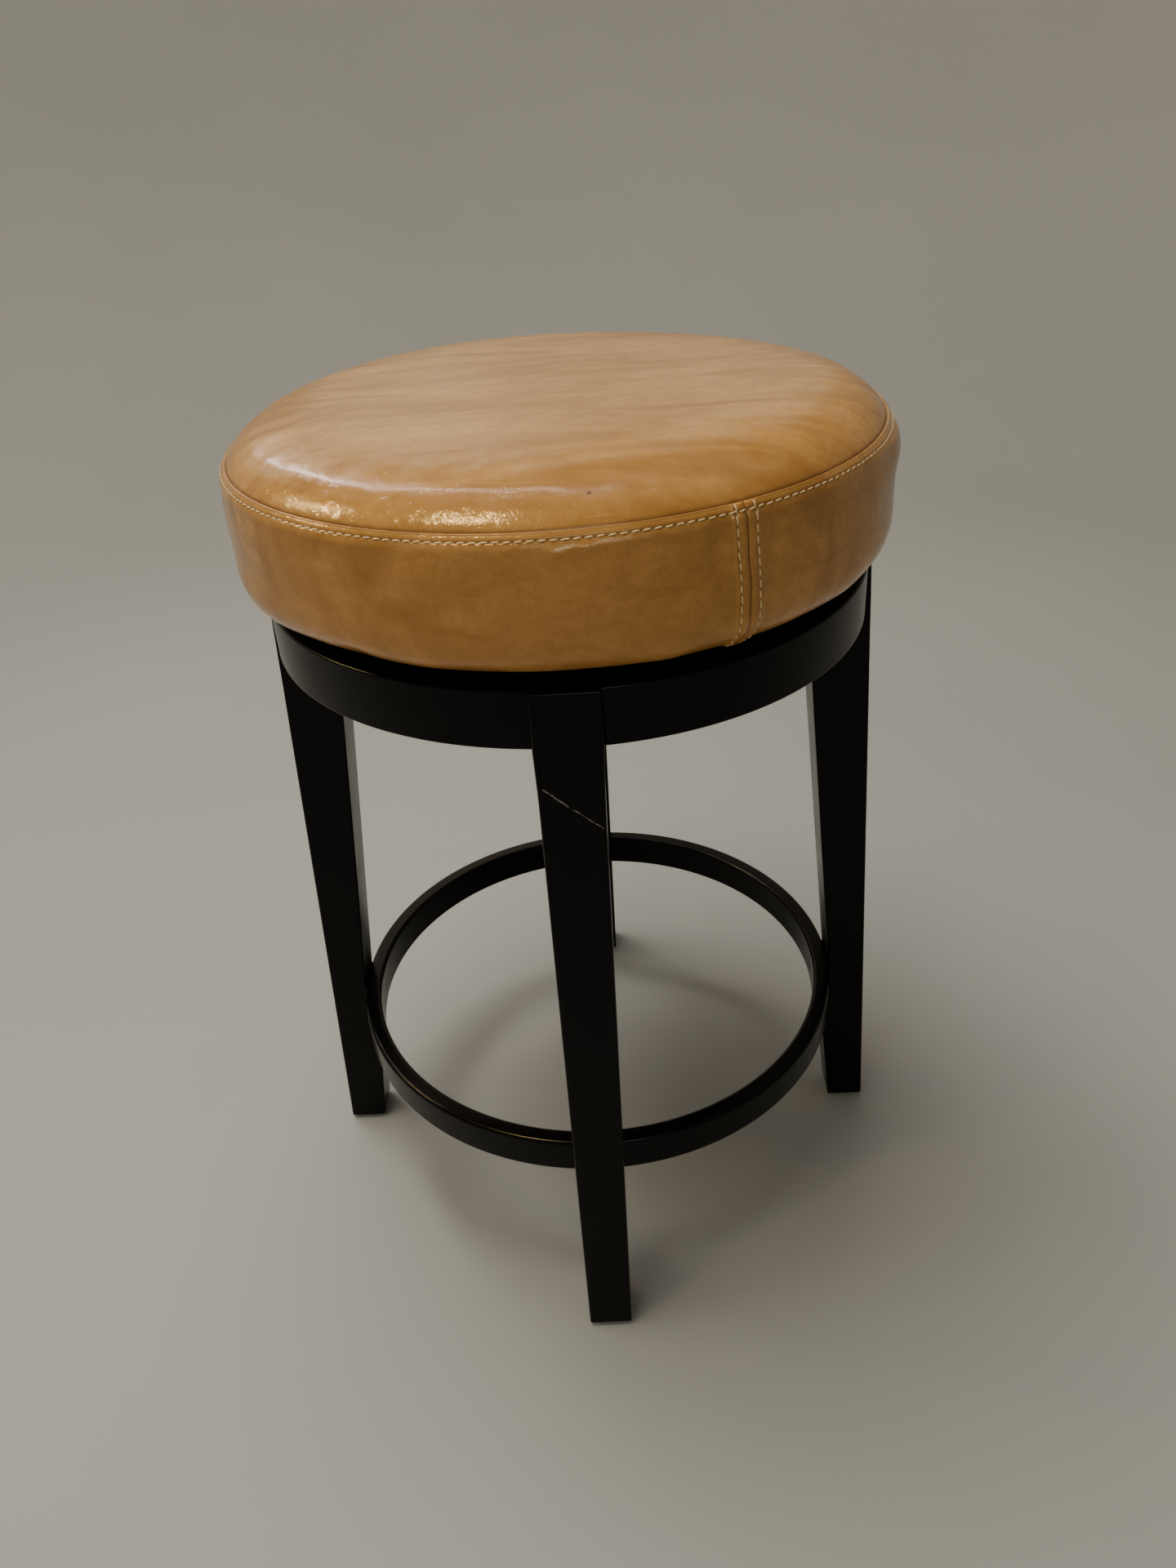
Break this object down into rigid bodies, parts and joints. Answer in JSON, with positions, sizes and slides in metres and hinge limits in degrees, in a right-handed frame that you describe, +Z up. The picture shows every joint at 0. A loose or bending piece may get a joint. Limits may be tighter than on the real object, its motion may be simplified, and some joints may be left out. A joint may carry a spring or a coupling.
{
  "type": "bar stool with footrest",
  "caption": "Counter-height stool: round leather seat on a swivel, splayed square legs under a curved apron, and a round footrest rail.",
  "frame": {"origin": "on the floor, on the axis of the seat swivel", "axes": "+Z up along the swivel axis; the legs stand at -Y (front), +X (right), +Y (back) and -X (left)"},
  "size_m": [0.4596, 0.4596, 0.6364],
  "materials": {
    "black_paint": "satin",
    "raw_timber": "matte",
    "plywood": "matte",
    "bracket_steel": "satin",
    "swivel_steel": "satin",
    "bright_zinc": "satin",
    "black_oxide": "satin",
    "ball_steel": "polished",
    "glide_plastic": "matte",
    "tan_leather": "satin",
    "foam": "matte",
    "dust_cloth": "matte"
  },
  "bodies": {
    "base": {"leg_front": "black_paint", "leg_right": "black_paint", "leg_back": "black_paint", "leg_left": "black_paint", "apron_front_right": "black_paint", "apron_back_right": "black_paint", "apron_back_left": "black_paint", "apron_front_left": "black_paint", "apron_dowels": "raw_timber", "swivel_panel": "black_paint", "cross_rail_x": "black_paint", "cross_rail_y": "black_paint", "rail_bracket_front": "bracket_steel", "rail_bracket_right": "bracket_steel", "rail_bracket_back": "bracket_steel", "rail_bracket_left": "bracket_steel", "bracket_screws": "bright_zinc", "footrest_ring": "black_paint", "footrest_screws": "black_oxide", "glide_front": "glide_plastic", "glide_right": "glide_plastic", "glide_back": "glide_plastic", "glide_left": "glide_plastic", "glide_nails": "bright_zinc", "swivel_lower_plate": "swivel_steel", "swivel_rail_screws": "bright_zinc", "swivel_pivot": "bright_zinc", "swivel_balls": "ball_steel", "swivel_ball_cage": "swivel_steel"},
    "seat": {"swivel_upper_plate": "swivel_steel", "swivel_seat_bolts": "bright_zinc", "seat_tee_nuts": "bright_zinc", "seat_board": "plywood", "seat_foam": "foam", "seat_cover_top": "tan_leather", "seat_cover_band": "tan_leather", "dust_cover": "dust_cloth", "cover_staples": "bright_zinc"}
  },
  "joints": [
    {"name": "seat_swivel", "type": "hinge", "parent": "base", "child": "seat", "pos_m": [0, 0, 0.5225], "axis": [0, 0, 1], "continuous": true}
  ]
}
